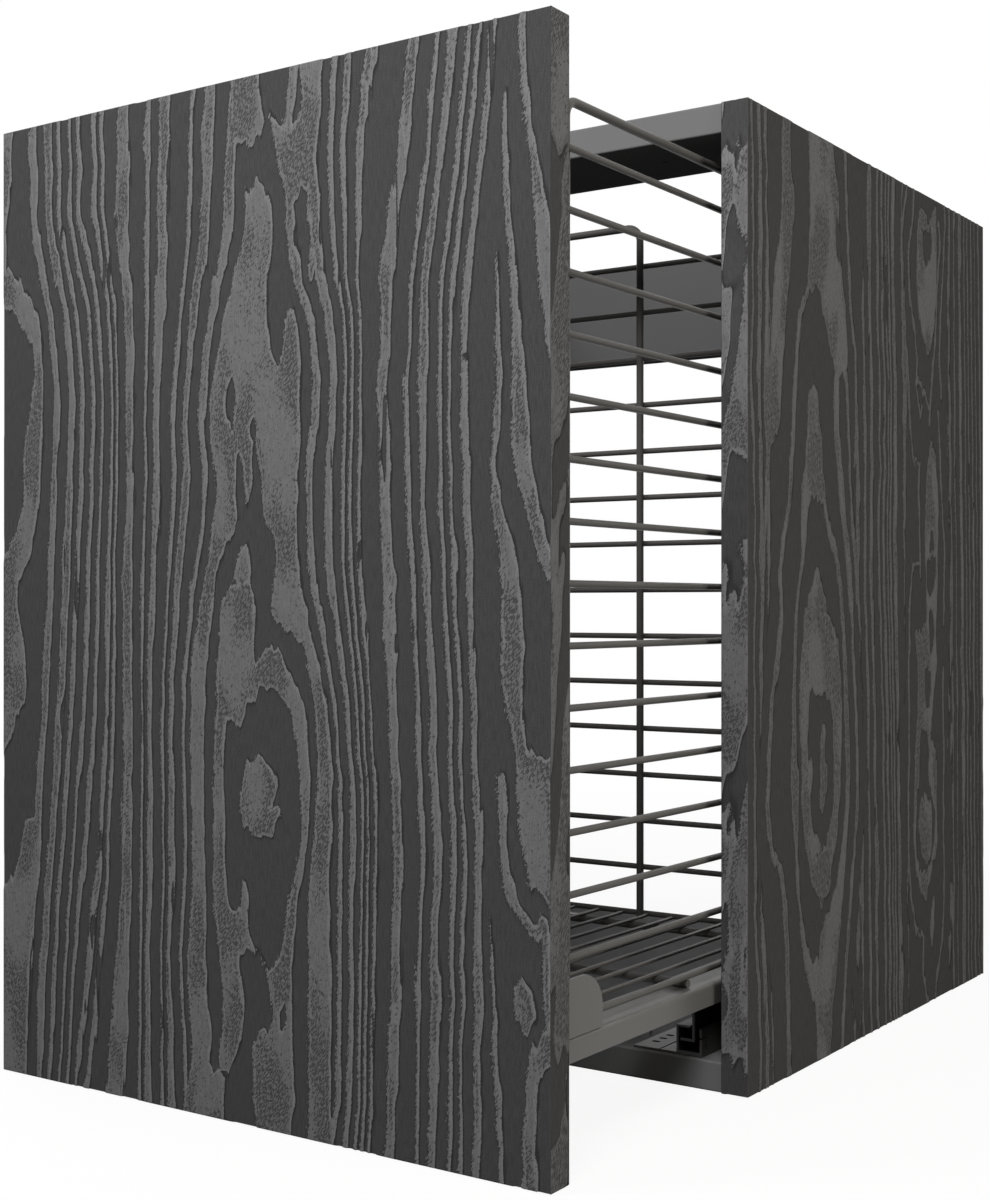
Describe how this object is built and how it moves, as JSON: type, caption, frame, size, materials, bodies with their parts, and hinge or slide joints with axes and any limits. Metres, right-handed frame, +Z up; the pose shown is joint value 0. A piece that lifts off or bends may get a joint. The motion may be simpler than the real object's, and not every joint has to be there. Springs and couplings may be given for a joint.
{
  "type": "pull out larder unit",
  "caption": "Floor cabinet, open at the back, whose front carries a deep wire basket out of it on full-extension ball-bearing runners.",
  "frame": {"origin": "centre of the underside of the carcass", "axes": "+Z up, the front faces -Y and pulls out along -Y, +X to the right of someone who faces the front"},
  "size_m": [0.512, 0.7623, 0.72],
  "materials": {
    "grained_board": "charcoal, deep-brushed softwood grain",
    "smooth_board": "smooth dark grey laminate",
    "dowel_wood": "plain beech",
    "zinc": "zinc plated",
    "black_steel": "black, semi-matt",
    "black_plastic": "black, fine grain",
    "ball_steel": "polished",
    "coated_steel": "warm grey powder coat",
    "basket_wire": "warm grey powder coat",
    "buffer_rubber": "soft, grey"
  },
  "bodies": {
    "carcass": {"left_side_panel": "grained_board", "right_side_panel": "grained_board", "bottom_panel": "smooth_board", "front_top_rail": "smooth_board", "rear_rail": "smooth_board", "dowels": "dowel_wood", "cam_housings": "zinc", "cam_bolts": "zinc", "base_plate_screws": "zinc", "runner_spacers": "zinc", "slide_rivets": "zinc", "base_plate_left": "zinc", "base_plate_right": "zinc", "runner_channel_left": "black_steel", "runner_channel_right": "black_steel", "runner_upright_left": "black_steel", "runner_upright_right": "black_steel", "slide_outer_left": "black_steel", "slide_outer_right": "black_steel"},
    "outer_cages": {"outer_ball_cage_left": "zinc", "outer_ball_cage_right": "zinc", "outer_balls": "ball_steel"},
    "middle_members": {"slide_middle_left": "black_steel", "slide_middle_right": "black_steel"},
    "inner_cages": {"inner_ball_cage_left": "zinc", "inner_ball_cage_right": "zinc", "inner_balls": "ball_steel"},
    "pull_out": {"slide_inner_left": "black_steel", "slide_inner_right": "black_steel", "tray_rail_left": "coated_steel", "tray_rail_right": "coated_steel", "rail_rivets": "zinc", "rail_stop_screws": "black_steel", "front_panel": "grained_board", "front_buffers": "buffer_rubber", "upper_clips": "black_plastic", "front_screws": "zinc", "front_bracket_left": "coated_steel", "front_bracket_right": "coated_steel", "side_frame_left": "basket_wire", "side_frame_right": "basket_wire", "back_frame": "basket_wire", "front_frame": "basket_wire", "cross_wires": "basket_wire", "floor_wires": "basket_wire", "hoop_1": "basket_wire", "hoop_2": "basket_wire", "hoop_3": "basket_wire", "hoop_4": "basket_wire", "hoop_5": "basket_wire", "hoop_6": "basket_wire", "hoop_7": "basket_wire", "hoop_8": "basket_wire", "hoop_9": "basket_wire", "hoop_10": "basket_wire", "hoop_11": "basket_wire", "hoop_12": "basket_wire", "hoop_13": "basket_wire", "hoop_14": "basket_wire", "hoop_15": "basket_wire"}
  },
  "joints": [
    {"name": "pull_out_slide", "type": "slide", "parent": "carcass", "child": "pull_out", "axis": [0, -1, 0], "range_m": [-0.2273, 0.2227]},
    {"name": "outer_cage_roll", "type": "slide", "parent": "carcass", "child": "outer_cages", "axis": [0, -1, 0], "range_m": [-0.0569, 0.0557]},
    {"name": "middle_member_slide", "type": "slide", "parent": "carcass", "child": "middle_members", "axis": [0, -1, 0], "range_m": [-0.1137, 0.1114]},
    {"name": "inner_cage_roll", "type": "slide", "parent": "carcass", "child": "inner_cages", "axis": [0, -1, 0], "range_m": [-0.1705, 0.1671]}
  ],
  "couplings": [
    {"joint": "outer_cage_roll", "follows": "pull_out_slide", "ratio": 0.25},
    {"joint": "middle_member_slide", "follows": "pull_out_slide", "ratio": 0.5},
    {"joint": "inner_cage_roll", "follows": "pull_out_slide", "ratio": 0.75}
  ]
}
